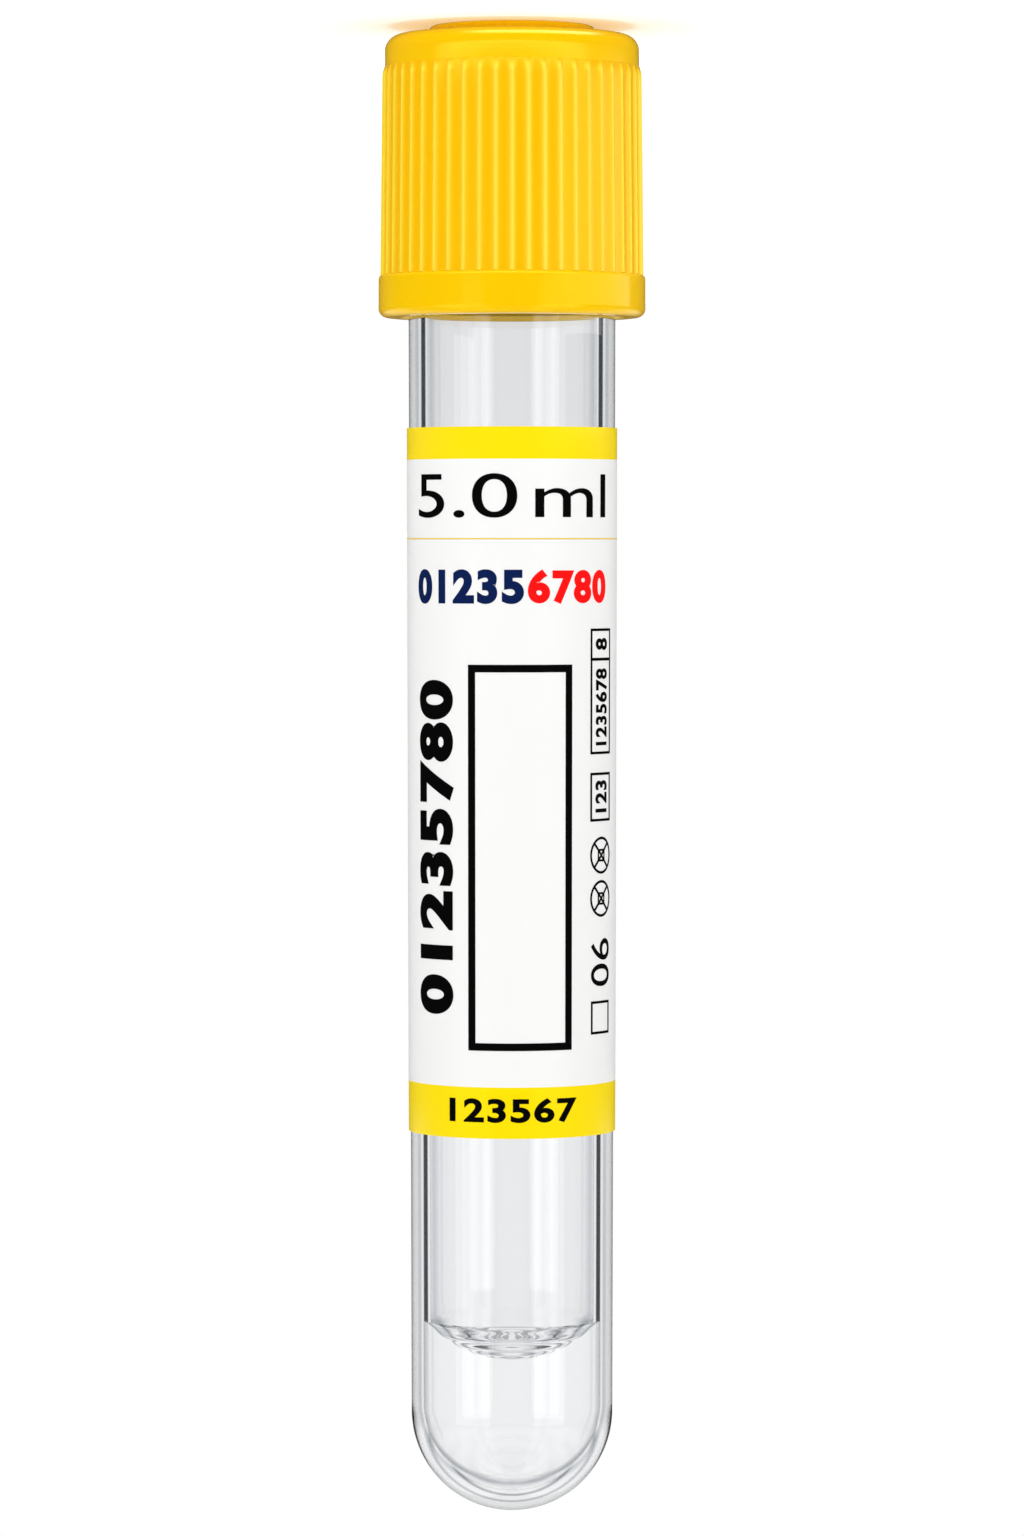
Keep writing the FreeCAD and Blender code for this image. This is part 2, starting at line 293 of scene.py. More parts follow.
def turn_profile(steps, degrees=360.0, copies=False):
    """Spins what is drawn about the axis, then merges the seam and the poles."""
    bpy.ops.mesh.select_all(action="SELECT")
    bpy.ops.mesh.spin(steps=steps, angle=math.radians(degrees), center=(0, 0, 0), axis=(0, 0, 1),
                      dupli=copies)
    bpy.ops.mesh.select_all(action="SELECT")
    bpy.ops.mesh.remove_doubles(threshold=MERGE)


def close_shell(piece):
    """Faces outwards, doubles merged."""
    edit_all(piece)
    bpy.ops.mesh.remove_doubles(threshold=MERGE)
    bpy.ops.mesh.normals_make_consistent(inside=False)
    object_mode()


def lathe(name, points, steps):
    piece = draw_profile(name, brace(points))
    turn_profile(steps)
    object_mode()
    close_shell(piece)
    return piece


def smooth(piece, degrees=35):
    activate(piece)
    bpy.ops.object.shade_smooth_by_angle(angle=math.radians(degrees))


def round_corner(centre, radius, start, end, steps):
    """Points along an arc, both ends included, angles in degrees in the (radius, height) plane."""
    points = []
    for k in range(steps + 1):
        turn = math.radians(start + (end - start) * k / steps)
        points.append((centre[0] + radius * math.cos(turn), centre[1] + radius * math.sin(turn)))
    return points


def brace(points, reach=0.03 * MM, longest=0.4 * MM):
    """Adds a point just inside each end of every long straight, so that smooth shading stays true
    along it instead of leaning towards the round next to it."""
    braced = [points[0]]
    for start, end in zip(points, points[1:]):
        straight = math.dist(start, end)
        if straight > longest:
            for share in (reach / straight, 1 - reach / straight):
                braced.append((start[0] + (end[0] - start[0]) * share,
                               start[1] + (end[1] - start[1]) * share))
        braced.append(end)
    return braced


def ringed(points, step, height, reach):
    """Profile points raised in faint rings round the axis that fade out at radius 'reach'."""
    raised = []
    for radius, level in points:
        fade = max(0.0, 1 - (radius / reach) ** 4)
        raised.append((radius, level + height * fade * math.cos(2 * math.pi * radius / step)))
    return raised


def stand_on_cap(piece):
    """From the tube's own axis to the rest pose: half a turn about Y, then up to the frame's top."""
    piece.rotation_euler = (0, math.pi, 0)
    piece.location = (0, 0, REST_TOP)
    apply_place(piece)


def finish_piece(piece, body, materials, replaced=()):
    """Gives a finished piece its materials, its rest pose and its body, and hides the CAD parts it replaces.
    """
    while len(piece.data.materials) < len(materials):
        piece.data.materials.append(None)
    for number, material in enumerate(materials):
        piece.data.materials[number] = material
    stand_on_cap(piece)
    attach(piece, body)
    if replaced:
        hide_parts(*replaced)
    return piece


# ---- shared shapes ------------------------------------------------------------------------------
def ball_radius(mouth_radius, reach, draft):
    """Radius of the ball end that a drafted wall runs into smoothly."""
    return (mouth_radius * math.cos(draft) - reach * math.sin(draft)) / (1 - math.sin(draft))


def bore_ball_radius(tube):
    return ball_radius(tube.mouth_radius - tube.wall, tube.length - tube.bottom, tube.bore_draft)


def outer_radius(tube, height):
    return tube.mouth_radius - (tube.length - height) * math.tan(tube.draft)


def bore_radius(tube, height):
    return tube.mouth_radius - tube.wall - (tube.length - height) * math.tan(tube.bore_draft)


def cap_levels(tube, cap):
    """Heights and radii of the cap that other pieces need."""
    start = tube.length - cap.overlap
    top = start + cap.height
    shoulder = top - cap.ring_height
    return {
        "start": start,
        "top": top,
        "shoulder": shoulder,
        "rib_start": start + cap.flange_height,
        "rib_top": shoulder - cap.collar_height,
        "web_underside": shoulder - cap.web,
        "skirt": tube.mouth_radius + cap.clearance,
    }


# ---- nodes --------------------------------------------------------------------------------------
def add_node(tree, kind, inputs=None, **settings):
    """Adds a node with its settings.  Each input is given a plain value or another node's socket."""
    node = tree.nodes.new("ShaderNode" + kind)
    for name, value in settings.items():
        setattr(node, name, value)
    for name, value in (inputs or {}).items():
        if isinstance(value, bpy.types.NodeSocket):
            tree.links.new(value, node.inputs[name])
        else:
            node.inputs[name].default_value = value
    return node


def calculate(tree, operation, *values):
    return add_node(tree, "Math", dict(enumerate(values)), operation=operation).outputs[0]


def scaled(tree, vector, factors):
    return add_node(tree, "VectorMath", {0: vector, 1: factors}, operation="MULTIPLY").outputs["Vector"]


def distance(tree, vector, place):
    return add_node(tree, "VectorMath", {0: vector, 1: place}, operation="DISTANCE").outputs["Value"]


def vector_length(tree, vector):
    return add_node(tree, "VectorMath", {0: vector}, operation="LENGTH").outputs["Value"]


def share_of(tree, value, first, last):
    """0 up to 'first', 1 from 'last' on and in proportion between."""
    return add_node(tree, "MapRange", {"Value": value, "From Min": first, "From Max": last}).outputs["Result"]


def fade(tree, value, span, before, after):
    """'before' up to the span's start, 'after' from its end on and a soft change between."""
    inputs = {"Value": value, "From Min": span[0], "From Max": span[1], "To Min": before, "To Max": after}
    return add_node(tree, "MapRange", inputs, interpolation_type="SMOOTHSTEP").outputs["Result"]


def blend(tree, share, first, second, blend_type="MIX"):
    """A colour from two: the second one's share is 'share'."""
    return add_node(tree, "Mix", {0: share, 6: first, 7: second}, data_type="RGBA",
                    blend_type=blend_type).outputs[2]


def ray_is(tree, kind):
    """1 where the ray is of this kind."""
    return add_node(tree, "LightPath").outputs[kind]


def pick_strength(tree, kind, usual, special):
    """A strength that is 'special' for one kind of ray and 'usual' for the rest."""
    return add_node(tree, "Mix", {0: ray_is(tree, kind), 2: usual, 3: special}, data_type="FLOAT").outputs[0]


def pick_shader(tree, kind, usual, special):
    """The same for shaders."""
    return add_node(tree, "MixShader", {0: ray_is(tree, kind), 1: usual, 2: special}).outputs[0]


def emission(tree, strength, tint=(1.0, 1.0, 1.0, 1.0)):
    return add_node(tree, "Emission", {"Color": tint, "Strength": strength}).outputs[0]


def object_place(tree):
    return add_node(tree, "TexCoord").outputs["Object"]


def grain(tree, feature, detail=2.0, stretch=(1.0, 1.0, 1.0)):
    """Noise on Object coordinates whose features are about 'feature' metres across."""
    spread = add_node(tree, "Mapping", {"Vector": object_place(tree), "Scale": stretch})
    return add_node(tree, "TexNoise", {"Vector": spread.outputs["Vector"], "Scale": 1.0 / feature,
                                       "Detail": detail}).outputs["Fac"]


def relief(tree, noise, depth):
    """A bumped normal from noise that is about 'depth' metres deep."""
    return add_node(tree, "Bump", {"Distance": depth, "Height": noise}).outputs["Normal"]


def new_material(name):
    """An empty node material and its node tree."""
    material = bpy.data.materials.new(name)
    material.use_nodes = True
    material.node_tree.nodes.clear()
    return material, material.node_tree


def finish_material(material, shader):
    add_node(material.node_tree, "OutputMaterial", {"Surface": shader})
    return material


# ---- materials ----------------------------------------------------------------------------------
def clear_material(name, tint, ior, pass_light):
    """A refracting surface that lets shadow rays straight through, dimmed to 'pass_light'."""
    material, tree = new_material(name)
    body = add_node(tree, "BsdfPrincipled", {"Base Color": rgba(tint), "Transmission Weight": 1.0,
                                             "IOR": ior, "Roughness": 0.0})
    through = add_node(tree, "BsdfTransparent", {"Color": rgba((pass_light,) * 3)})
    return finish_material(material, pick_shader(tree, "Is Shadow Ray", body.outputs[0], through.outputs[0]))


def moulded_pet(colours):
    """Clear PET, injection moulded in a polished tool: bright, sharp reflections and fine dark and
    light lines where its wall is seen edge on."""
    return clear_material("Clear PET, polished mould", colours.plastic, ior=1.575, pass_light=0.94)


def wetted_pet():
    """The bore behind the gel: a smaller step than from plastic to air, so that the gel looks
    wider than the bore and leaves a thin grey edge of wall."""
    return clear_material("Clear PET, wetted by gel", (1.0, 1.0, 1.0), ior=1.45, pass_light=0.99)


def gel_surface(colours):
    """Clear thixotropic gel, settled: a still, glossy, liquid-looking surface."""
    return clear_material("Clear separator gel, settled", colours.gel, ior=1.2, pass_light=0.96)


def gel_side():
    """The gel's side, which touches the plastic and so can't be seen: the bore's face there already
    stands for the step from plastic to gel."""
    material, tree = new_material("Clear separator gel, against plastic")
    return finish_material(material, add_node(tree, "BsdfTransparent").outputs[0])


def label_material(name, tint, roughness, gloss, mottle=0.0, shine=(1.0, 1.0, 1.0), painted_glow=0.0):
    """Coated label paper or the ink on it: satin, with the faint tooth of paper under the coat.  A
    bright ink tints its own gloss with 'shine'; the glow is painted light, an emission in the paper's own
    colour that stands in for light coming through it."""
    material, tree = new_material(name)
    base = rgba(tint)
    if mottle:
        cloud = grain(tree, 3.0 * MM)
        base = blend(tree, cloud, base, rgba([c * (1 - mottle) for c in tint]))
    tooth = grain(tree, 0.25 * MM, detail=3.0)
    shader = add_node(tree, "BsdfPrincipled",
                      {"Base Color": base, "Roughness": roughness, "IOR": 1.5, "Specular IOR Level": gloss,
                       "Specular Tint": rgba(shine), "Emission Color": rgba(tint),
                       "Emission Strength": painted_glow, "Normal": relief(tree, tooth, 0.002 * MM)})
    return finish_material(material, shader.outputs[0])


def painted_rib_light(tree, colours, moulded, floor, slope, height):
    """Painted light on the ribs: a highlight painted paler on the thin crests and shade painted deeper in the
    flutes, by height over a flute's floor.
    'floor' is the radius of a flute's floor at the origin's height, 'slope' its rise per metre and
    'height' the rib's."""
    place = object_place(tree)
    level = add_node(tree, "SeparateXYZ", {0: place}).outputs["Z"]
    radius = vector_length(tree, scaled(tree, place, (1.0, 1.0, 0.0)))
    rise = share_of(tree, calculate(tree, "MULTIPLY_ADD", level, -slope, radius), floor, floor + height)
    # Painted shade in the flutes, then a painted highlight on the crests.
    sunk = blend(tree, rise, rgba(colours.cap_flute_shade), moulded)
    return blend(tree, rise, sunk, rgba(colours.cap_crest_highlight))


def moulded_polyethylene(colours, ribs=None):
    """Yellow polyethylene, injection moulded: satin gloss, slightly translucent, with a very fine
    pebble left by the tool and faint flow in the pigment.  'ribs' holds the floor, slope and height
    of the ribbed band, whose crests get a painted highlight and whose flutes get painted shade."""
    material, tree = new_material("Yellow polyethylene, " + ("ribbed" if ribs else "moulded"))
    flow = grain(tree, 5.0 * MM, stretch=(1.0, 1.0, 0.35))
    deeper = [c * share for c, share in zip(colours.cap, (0.96, 0.92, 0.9))]
    tint = blend(tree, flow, rgba(colours.cap), rgba(deeper))
    if ribs:
        # Painted light: a highlight on the rib crests and shade in the flutes.
        tint = painted_rib_light(tree, colours, tint, *ribs)
    pebble = grain(tree, 0.35 * MM)
    shader = add_node(tree, "BsdfPrincipled",
                      {"Base Color": tint, "Roughness": 0.15, "IOR": 1.51,
                       "Subsurface Weight": 0.12, "Subsurface Radius": (1.0, 0.55, 0.12),
                       "Subsurface Scale": 0.3 * MM, "Specular IOR Level": 1.0,
                       "Specular Tint": rgba(colours.cap_shine),
                       "Normal": relief(tree, pebble, 0.003 * MM)})
    return finish_material(material, shader.outputs[0])


def butyl_rubber(colours):
    """Grey butyl rubber, compression moulded: matt, faintly dusty, with a soft grain."""
    material, tree = new_material("Grey butyl rubber, moulded")
    dust = grain(tree, 1.8 * MM, detail=3.0)
    skin = grain(tree, 0.3 * MM, detail=4.0)
    tint = blend(tree, dust, rgba(colours.rubber), rgba([c * 1.18 for c in colours.rubber]))
    shader = add_node(tree, "BsdfPrincipled",
                      {"Base Color": tint, "Roughness": 0.62, "IOR": 1.5, "Specular IOR Level": 0.4,
                       "Normal": relief(tree, skin, 0.012 * MM)})
    return finish_material(material, shader.outputs[0])


# ---- tube and gel -------------------------------------------------------------------------------
TUBE_STEPS = 256                # round the axis
BALL_STEPS = 48                 # from the tip to the wall
DISH_STEPS = 120                # from the gel's rim to its middle
NEAR_BORE = 0.2 * MM            # faces nearer to the bore than this are its own


class SAMPLETUBE_OT_tube(bpy.types.Operator):
    """Model the clear tube: a drafted wall with a ball end, outside and inside"""
    bl_idname = "sampletube.tube"
    bl_label = "Clear tube"

    def execute(self, context):
        tube = context.scene.tube_sizes
        colours = context.scene.finish_colours
        ball = ball_radius(tube.mouth_radius, tube.length, tube.draft)
        bore_ball = bore_ball_radius(tube)
        bore_centre = (0.0, tube.bottom + bore_ball)
        rim = tube.length - tube.mouth_round
        round_out = (outer_radius(tube, rim) - tube.mouth_round, rim)
        round_in = (bore_radius(tube, rim) + tube.mouth_round, rim)
        draft = math.degrees(tube.draft)
        bore_draft = math.degrees(tube.bore_draft)
        gel_rim = tube.gel_middle + tube.gel_creep
        points = round_corner((0.0, ball), ball, -90, -draft, BALL_STEPS)
        points += round_corner(round_out, tube.mouth_round, 0, 90, 8)
        points += round_corner(round_in, tube.mouth_round, 90, 180, 8)
        points.append((bore_radius(tube, gel_rim), gel_rim))
        points += round_corner(bore_centre, bore_ball, -bore_draft, -90, BALL_STEPS)
        piece = lathe("tube_body_clear", points, TUBE_STEPS)
        smooth(piece)
        for face in piece.data.polygons:
            reach = math.hypot(face.center.x, face.center.y)
            on_wall = reach < bore_radius(tube, face.center.z) + NEAR_BORE
            from_centre = (face.center - Vector((0, 0, bore_centre[1]))).length
            on_ball = face.center.z >= bore_centre[1] or from_centre < bore_ball + NEAR_BORE
            face.material_index = 1 if on_wall and on_ball and face.center.z < gel_rim else 0
        finish_piece(piece, "tube", [moulded_pet(colours), wetted_pet()],
                     ["tube_body"])
        return {"FINISHED"}


class SAMPLETUBE_OT_gel(bpy.types.Operator):
    """Model the separator gel: it fills the round end and climbs the wall in a dish"""
    bl_idname = "sampletube.gel"
    bl_label = "Separator gel"

    def execute(self, context):
        tube = context.scene.tube_sizes
        colours = context.scene.finish_colours
        bore_ball = bore_ball_radius(tube)
        centre = (0.0, tube.bottom + bore_ball)
        rim = tube.gel_middle + tube.gel_creep
        rim_radius = bore_radius(tube, rim) - tube.gel_gap
        dish = (rim_radius ** 2 + tube.gel_creep ** 2) / (2 * tube.gel_creep)
        dish_centre = (0.0, tube.gel_middle + dish)
        edge = math.degrees(math.asin((rim - dish_centre[1]) / dish))
        points = round_corner(centre, bore_ball - tube.gel_gap, -90, -math.degrees(tube.bore_draft),
                              BALL_STEPS)
        surface = round_corner(dish_centre, dish, edge, -90, DISH_STEPS)
        points += ringed(surface, tube.gel_ring_step, tube.gel_ring_height, rim_radius)
        piece = lathe("gel_plug", points, TUBE_STEPS)
        smooth(piece)
        for face in piece.data.polygons:
            faces_up = face.normal.z > 0.1
            face.material_index = 0 if faces_up else 1
        finish_piece(piece, "tube", [gel_surface(colours), gel_side()],
                     ["separator_gel"])
        return {"FINISHED"}


# ---- label --------------------------------------------------------------------------------------
# The label and its print are drawn flat, as artwork: x runs round the tube and z along it, and the
# front faces -Y.  wrap_round() then bends the flat piece round the tube and tapers it to the draft.
WRAP_STEP = 0.3 * MM


def flat_radius(tube, label):
    """Radius that the artwork's x is measured at: the label's outside, carried down to the tip."""
    return outer_radius(tube, 0.0) + label.gap + label.thickness


def wrap_round(piece, radius, slope):
    """Cuts the flat piece into narrow strips, bends it round the axis and tapers it."""
    edit_all(piece)
    low = min(v.co.x for v in piece.data.vertices)
    high = max(v.co.x for v in piece.data.vertices)
    first = math.floor(low / WRAP_STEP) + 1
    last = math.ceil(high / WRAP_STEP)
    for k in range(first, last):
        bpy.ops.mesh.select_all(action="SELECT")
        bpy.ops.mesh.bisect(plane_co=(k * WRAP_STEP, 0, 0), plane_no=(1, 0, 0), threshold=CUT)
    object_mode()
    apply_modifier(piece, "SIMPLE_DEFORM", deform_method="BEND", deform_axis="Z",
                   angle=(high - low) / radius)
    piece.location = (0, -radius, 0)
    apply_place(piece)
    heights = [v.co.z for v in piece.data.vertices]
    apply_modifier(piece, "SIMPLE_DEFORM", deform_method="TAPER", deform_axis="Z",
                   factor=slope / radius * (max(heights) - min(heights)))


def flat_rectangle(name, left, right, low, high):
    deselect_all()
    bpy.ops.mesh.primitive_plane_add(size=1.0, rotation=(math.pi / 2, 0, 0),
                                     location=((left + right) / 2, 0, (low + high) / 2))
    piece = bpy.context.object
    piece.name = name
    piece.scale = (right - left, high - low, 1)
    apply_place(piece)
    return piece


def outline_of(piece, line):
    """Leaves a border of a flat shape and takes its inside out."""
    edit_all(piece)
    bpy.ops.mesh.inset(thickness=line)
    bpy.ops.mesh.delete(type="FACE")
    object_mode()
    return piece


def flat_ring(name, x, z, radius, line):
    deselect_all()
    bpy.ops.mesh.primitive_circle_add(vertices=48, radius=radius, fill_type="NGON",
                                      rotation=(math.pi / 2, 0, 0), location=(x, 0, z))
    piece = bpy.context.object
    piece.name = name
    apply_place(piece)
    return outline_of(piece, line)


def flat_bar(name, x, z, reach, line, degrees):
    """A thin bar through (x, z), turned by 'degrees' in the artwork's plane."""
    piece = flat_rectangle(name, -reach, reach, -line / 2, line / 2)
    piece.rotation_euler = (0, math.radians(degrees), 0)
    piece.location = (x, 0, z)
    apply_place(piece)
    return piece


TEXT_SIZE = 10 * MM             # before it is stretched to its place
# Weights that every figure's outline fills cleanly at.
PLAIN = 0.0
HALF_BOLD = 0.032
BOLD = 0.05


def flat_text(name, words, left, right, low, high, weight=PLAIN, sideways=False):
    """Figures stretched to fill a rectangle of the artwork; sideways ones read towards the closure."""
    deselect_all()
    bpy.ops.object.text_add(rotation=(math.pi / 2, 0, 0))
    piece = bpy.context.object
    piece.name = name
    piece.data.body = words
    piece.data.size = TEXT_SIZE
    piece.data.offset = weight * TEXT_SIZE
    piece.data.resolution_u = 20 if weight == BOLD else 12
    piece.data.space_character = 1.0 + 3 * weight
    piece.data.space_word = 0.3
    bpy.ops.object.convert(target="MESH")
    piece = bpy.context.object
    apply_place(piece)
    if sideways:
        piece.rotation_euler = (0, -math.pi / 2, 0)
        apply_place(piece)
    xs = [v.co.x for v in piece.data.vertices]
    zs = [v.co.z for v in piece.data.vertices]
    wide = (right - left) / (max(xs) - min(xs))
    tall = (high - low) / (max(zs) - min(zs))
    piece.scale = (wide, 1, tall)
    piece.location = (left - min(xs) * wide, 0, low - min(zs) * tall)
    apply_place(piece)
    edit_all(piece)
    bpy.ops.mesh.remove_doubles(threshold=MERGE)
    object_mode()
    return piece


def join(name, pieces):
    activate(*pieces)
    bpy.ops.object.join()
    piece = bpy.context.object
    piece.name = name
    piece.data.name = name
    return piece


def print_ink(context, name, pieces, material):
    """Joins flat shapes into one layer of ink, gives it its thickness and wraps it on the label."""
    tube = context.scene.tube_sizes
    label = context.scene.label_sizes
    sunk = 0.01 * MM
    piece = join(name, pieces)
    piece.location = (0, sunk, 0)
    apply_place(piece)
    apply_modifier(piece, "SOLIDIFY", thickness=sunk + label.ink, offset=1.0)
    wrap_round(piece, flat_radius(tube, label), math.tan(tube.draft))
    smooth(piece)
    finish_piece(piece, "tube", [material])
    return piece


class SAMPLETUBE_OT_label(bpy.types.Operator):
    """Model the wrapped label with its yellow bands, open at the back"""
    bl_idname = "sampletube.label"
    bl_label = "Label"

    def execute(self, context):
        tube = context.scene.tube_sizes
        label = context.scene.label_sizes
        colours = context.scene.finish_colours
        radius = flat_radius(tube, label)
        end = label.start + label.length
        middle_radius = outer_radius(tube, (label.start + end) / 2) + label.gap + label.thickness
        half_turn = math.pi - math.asin(label.window / 2 / middle_radius)
        half = half_turn * radius
        piece = flat_rectangle("label_film", -half, half, label.start, end)
        edit_all(piece)
        bpy.ops.mesh.bevel(offset=label.corner, segments=10, affect="VERTICES")
        for level in (label.start + label.lower_band, end - label.upper_band):
            bpy.ops.mesh.select_all(action="SELECT")
            bpy.ops.mesh.bisect(plane_co=(0, 0, level), plane_no=(0, 0, 1), threshold=CUT)
        object_mode()
        piece.location = (0, label.thickness, 0)
        apply_place(piece)
        apply_modifier(piece, "SOLIDIFY", thickness=label.thickness, offset=1.0)
        for face in piece.data.polygons:
            on_band = not label.start + label.lower_band < face.center.z < end - label.upper_band
            faces_tube = face.normal.y > 0.5
            face.material_index = 2 if faces_tube else 1 if on_band else 0
        wrap_round(piece, radius, math.tan(tube.draft))
        apply_modifier(piece, "BEVEL", width=0.05 * MM, segments=2, limit_method="ANGLE",
                       angle_limit=math.radians(60), use_clamp_overlap=True)
        smooth(piece)
        film = label_material("White coated label paper", colours.film,
                              roughness=0.36, gloss=0.35, mottle=0.015)
        yellow = label_material("Yellow label ink, printed", colours.yellow,
                                roughness=0.30, gloss=0.6, shine=colours.cap_shine)
        # The glued side gets a painted glow: emission in the paper's colour standing in for light coming
        # through the paper.
        glued = label_material("White label paper, glued side", colours.film,
                               roughness=0.6, gloss=0.2, painted_glow=0.42)
        finish_piece(piece, "tube", [film, yellow, glued], ["label"])
        return {"FINISHED"}


# The print.  Areas give left and right in degrees round from the label's middle, then low and high in
# millimetres above the round tip.
FILL_AREA = (-61.5, 61.5, 62.7, 65.45)
NAVY_AREA = (-62.0, 6.4, 57.35, 59.5)
RED_AREA = (8.6, 62.0, 57.35, 59.5)
FIELD_AREA = (-24.5, 34.6, 29.58, 53.58)
NUMBER_AREA = (-60.8, -33.4, 31.75, 52.6)
COUNT_AREA = (-36.5, 38.0, 25.08, 26.62)
# The column of small signs at the right: its width in degrees, then heights in millimetres.
COLUMN_SPAN = (48.0, 68.5)
# Low and high of each frame, the figures in it, and their own low and high.
COLUMN_FRAMES = (
    (47.95, 53.95, "1235678", 48.5, 53.3),
    (53.81, 55.8, "8", 54.45, 55.2),
    (43.75, 46.8, "123", 44.3, 46.3),
)
COLUMN_SIGNS = ((40.46, 42.78), (37.76, 40.06))
PAIR = (33.42, 36.4)
BOX = (30.43, 32.5)
FIELD_LINE = 0.47 * MM
HAIRLINE = 0.16 * MM
FRAME_INSET = 0.5 * MM          # sides of a frame to its figures
COLUMN_INSET = 0.1 * MM         # sides of the column to the pair and the box
SIGN_SQUARE = 0.34              # half of a sign's square, as a share of its ring's radius
RULE_HEIGHTS = (61.36 * MM, 61.44 * MM)
RULE_SHY = 0.02                 # radians from the end of the rule to the label's edge


class SAMPLETUBE_OT_print(bpy.types.Operator):
    """Print the label: plain numbers, a blank field, frames and a hairline, in thin ink"""
    bl_idname = "sampletube.print"
    bl_label = "Label print"

    def execute(self, context):
        label = context.scene.label_sizes
        colours = context.scene.finish_colours
        radius = flat_radius(context.scene.tube_sizes, label)

        def spot(area):
            """An area's four sides on the artwork."""
            left, right, low, high = area
            return math.radians(left) * radius, math.radians(right) * radius, low * MM, high * MM

        black = [
            flat_text("fill", label.fill, *spot(FILL_AREA)),
            outline_of(flat_rectangle("field", *spot(FIELD_AREA)), FIELD_LINE),
            flat_text("number", label.number, *spot(NUMBER_AREA), weight=BOLD, sideways=True),
        ]
        black += self.draw_column(*(math.radians(side) * radius for side in COLUMN_SPAN))
        black.append(flat_text("count", label.count, *spot(COUNT_AREA), weight=HALF_BOLD))
        navy = [flat_text("navy", "01235", *spot(NAVY_AREA), weight=BOLD)]
        red = [flat_text("red", "6780", *spot(RED_AREA), weight=BOLD)]
        for name, pieces, tint in (("black", black, colours.black), ("navy", navy, colours.navy),
                                   ("red", red, colours.red)):
            print_ink(context, "label_ink_" + name, pieces,
                      label_material(name.capitalize() + " label ink, printed", tint,
                                     roughness=0.55, gloss=0.02))
        edge = (math.pi - math.asin(label.window / 2 / radius) - RULE_SHY) * radius
        print_ink(context, "label_ink_rule", [flat_rectangle("rule", -edge, edge, *RULE_HEIGHTS)],
                  label_material("Ochre label ink, hairline", colours.rule, roughness=0.45, gloss=0.2))
        return {"FINISHED"}

    def draw_column(self, left, right):
        """Framed figures, two crossed rings, a pair of figures and an empty box, one over the other."""
        pieces = []
        for low, high, words, words_low, words_high in COLUMN_FRAMES:
            pieces.append(outline_of(flat_rectangle("frame", left, right, low * MM, high * MM), HAIRLINE))
            pieces.append(flat_text("figures", words, left + FRAME_INSET, right - FRAME_INSET,
                                    words_low * MM, words_high * MM, weight=HALF_BOLD, sideways=True))
        middle = (left + right) / 2
        for low, high in COLUMN_SIGNS:
            height = (low + high) / 2 * MM
            reach = (high - low) / 2 * MM
            half = reach * SIGN_SQUARE
            square = flat_rectangle("square", middle - half, middle + half, height - half, height + half)
            pieces += [flat_ring("ring", middle, height, reach, HAIRLINE), outline_of(square, HAIRLINE * 0.8)]
            for turn in (45, -45):
                pieces.append(flat_bar("bar", middle, height, reach - HAIRLINE / 2, HAIRLINE, turn))
        left += COLUMN_INSET
        right -= COLUMN_INSET
        pieces.append(flat_text("pair", "06", left, right, PAIR[0] * MM, PAIR[1] * MM, sideways=True))
        box = flat_rectangle("box", left, right, BOX[0] * MM, BOX[1] * MM)
        pieces.append(outline_of(box, HAIRLINE))
        return pieces


# ---- cap ----------------------------------------------------------------------------------------
RIB_COLUMNS = 12                # strips that one rib and its flute are made of
# Height of each column over the flute's floor, from the crest to the middle of the flute: a narrow
# bead between broad flutes.
RIB_SECTION = (1.0, 0.72, 0.24, 0.08, 0.03, 0.01, 0.0)
# Where the straight part of a rib has its rows, as shares of its length, and where its rounded upper
# end has them, as shares of that end from the top.
RIB_ROWS = (0.33, 0.66)
RIB_END_ROWS = (0.0, 0.06, 0.16, 0.3, 0.48, 0.72, 1.0)
ON_BAND = 0.005 * MM            # vertices nearer to the flutes' floor than this are on it
ON_ROW = 0.002 * MM             # and nearer to a row's height than this are in it


